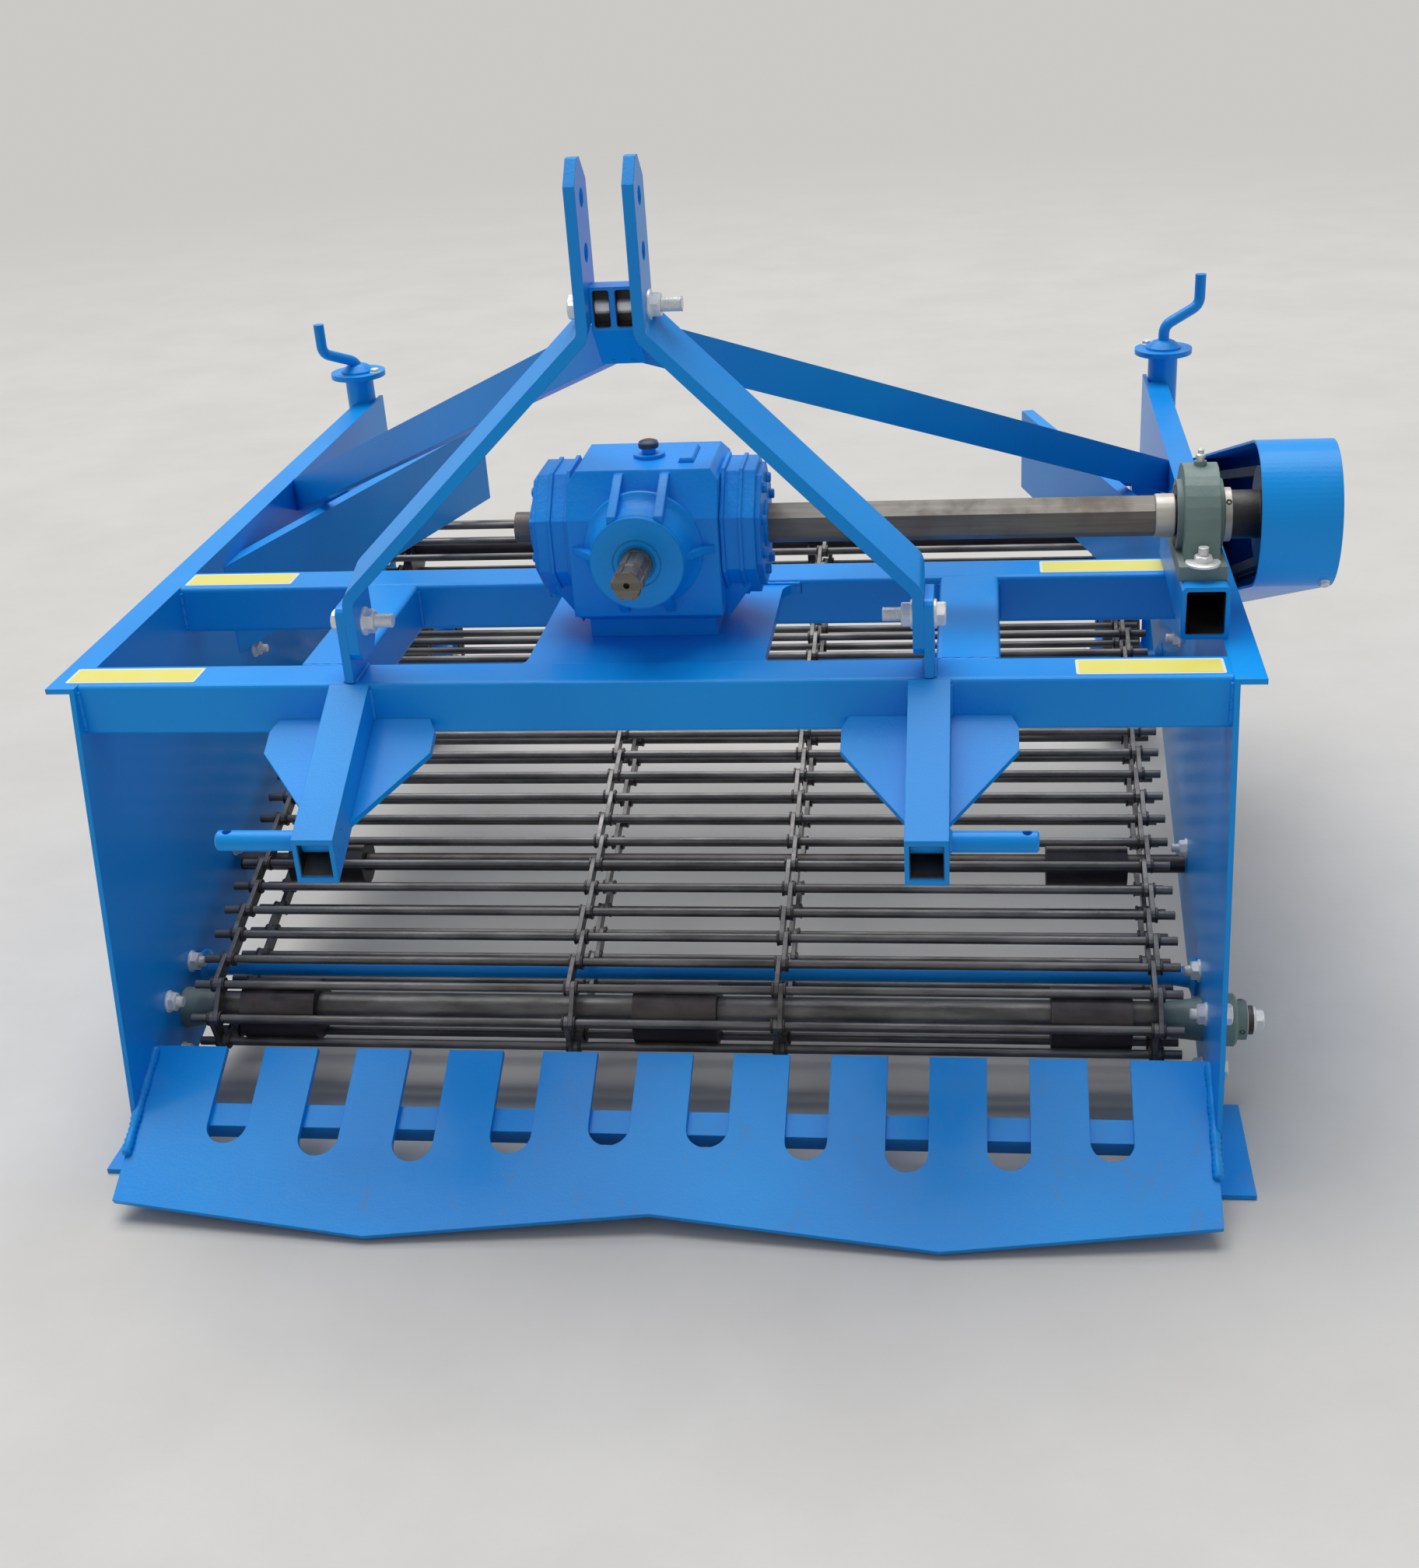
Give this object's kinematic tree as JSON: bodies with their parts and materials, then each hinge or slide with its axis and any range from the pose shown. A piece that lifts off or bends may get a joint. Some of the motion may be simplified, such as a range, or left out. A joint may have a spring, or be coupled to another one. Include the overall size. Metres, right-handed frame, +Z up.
{
  "type": "potato digger",
  "caption": "Mounted single-bed potato digger: slotted share, rod web between two side panels, beam frame with three-point hitch, gearbox, belt drive under a guard and depth wheels.",
  "frame": {"origin": "on the ground under the middle of the whole machine's box", "axes": "+X to the right seen from the tractor, towards the belt guard; +Y backwards, away from the tractor; +Z up"},
  "size_m": [1.4699, 1.5796, 1.137],
  "materials": {
    "paint": "satin blue enamel",
    "cast_paint": "blue enamel over a casting",
    "bare_steel": "machined, lightly tarnished",
    "dark_steel": "dark rolled steel",
    "cast_bearing": "grey-green primer",
    "belt_rubber": "matt",
    "tyre": "matt"
  },
  "bodies": {
    "digger_frame": {"side_panel_left": "paint", "side_panel_right": "paint", "front_beam": "paint", "rear_beam": "paint", "frame_rails": "paint", "gearbox_bed": "paint", "hitch_bars": "paint", "hitch_lugs": "paint", "hitch_braces": "paint", "lower_arms": "paint", "arm_gussets": "paint", "hitch_pins": "paint", "gearbox_case": "cast_paint", "pillow_block": "cast_bearing", "bearing_stand": "paint", "drive_guard": "paint", "drive_belts": "belt_rubber", "driven_pulley": "dark_steel", "rear_shaft": "dark_steel", "web_wheels": "dark_steel", "web_rods": "dark_steel", "web_links_outer": "dark_steel", "web_links_inner": "dark_steel", "front_roller": "dark_steel", "carrier_shafts": "dark_steel", "roller_drums": "dark_steel", "cross_ties": "paint", "shaft_bearings": "cast_bearing", "share": "paint", "share_tube_bar": "paint", "gather_plates": "paint", "gather_stays": "paint", "depth_columns": "paint", "depth_cranks": "paint"},
    "input_shaft": {"input_shaft": "bare_steel"},
    "cross_shaft": {"cross_shaft": "bare_steel", "drive_pulley": "dark_steel"},
    "wheel_leg_left": {"wheel_leg_left": "paint"},
    "wheel_leg_right": {"wheel_leg_right": "paint"},
    "depth_wheel_left": {"wheel_left": "paint", "tyre_left": "tyre"},
    "depth_wheel_right": {"wheel_right": "paint", "tyre_right": "tyre"}
  },
  "joints": [
    {"name": "cross_shaft_turn", "type": "hinge", "parent": "digger_frame", "child": "cross_shaft", "pos_m": [-0.024, -0.36219, 0.708], "axis": [1, 0, 0], "continuous": true},
    {"name": "input_shaft_turn", "type": "hinge", "parent": "digger_frame", "child": "input_shaft", "pos_m": [-0.024, -0.49519, 0.708], "axis": [0, 1, 0], "continuous": true},
    {"name": "depth_slide_left", "type": "slide", "parent": "digger_frame", "child": "wheel_leg_left", "axis": [0, 0, 1], "range_m": [-0.06, 0.08]},
    {"name": "depth_slide_right", "type": "slide", "parent": "digger_frame", "child": "wheel_leg_right", "axis": [0, 0, 1], "range_m": [-0.06, 0.08]},
    {"name": "wheel_turn_left", "type": "hinge", "parent": "wheel_leg_left", "child": "depth_wheel_left", "pos_m": [-0.631, 0.65981, 0.13], "axis": [1, 0, 0], "continuous": true},
    {"name": "wheel_turn_right", "type": "hinge", "parent": "wheel_leg_right", "child": "depth_wheel_right", "pos_m": [0.583, 0.65981, 0.13], "axis": [1, 0, 0], "continuous": true}
  ],
  "couplings": [
    {"joint": "input_shaft_turn", "follows": "cross_shaft_turn", "ratio": -1}
  ]
}
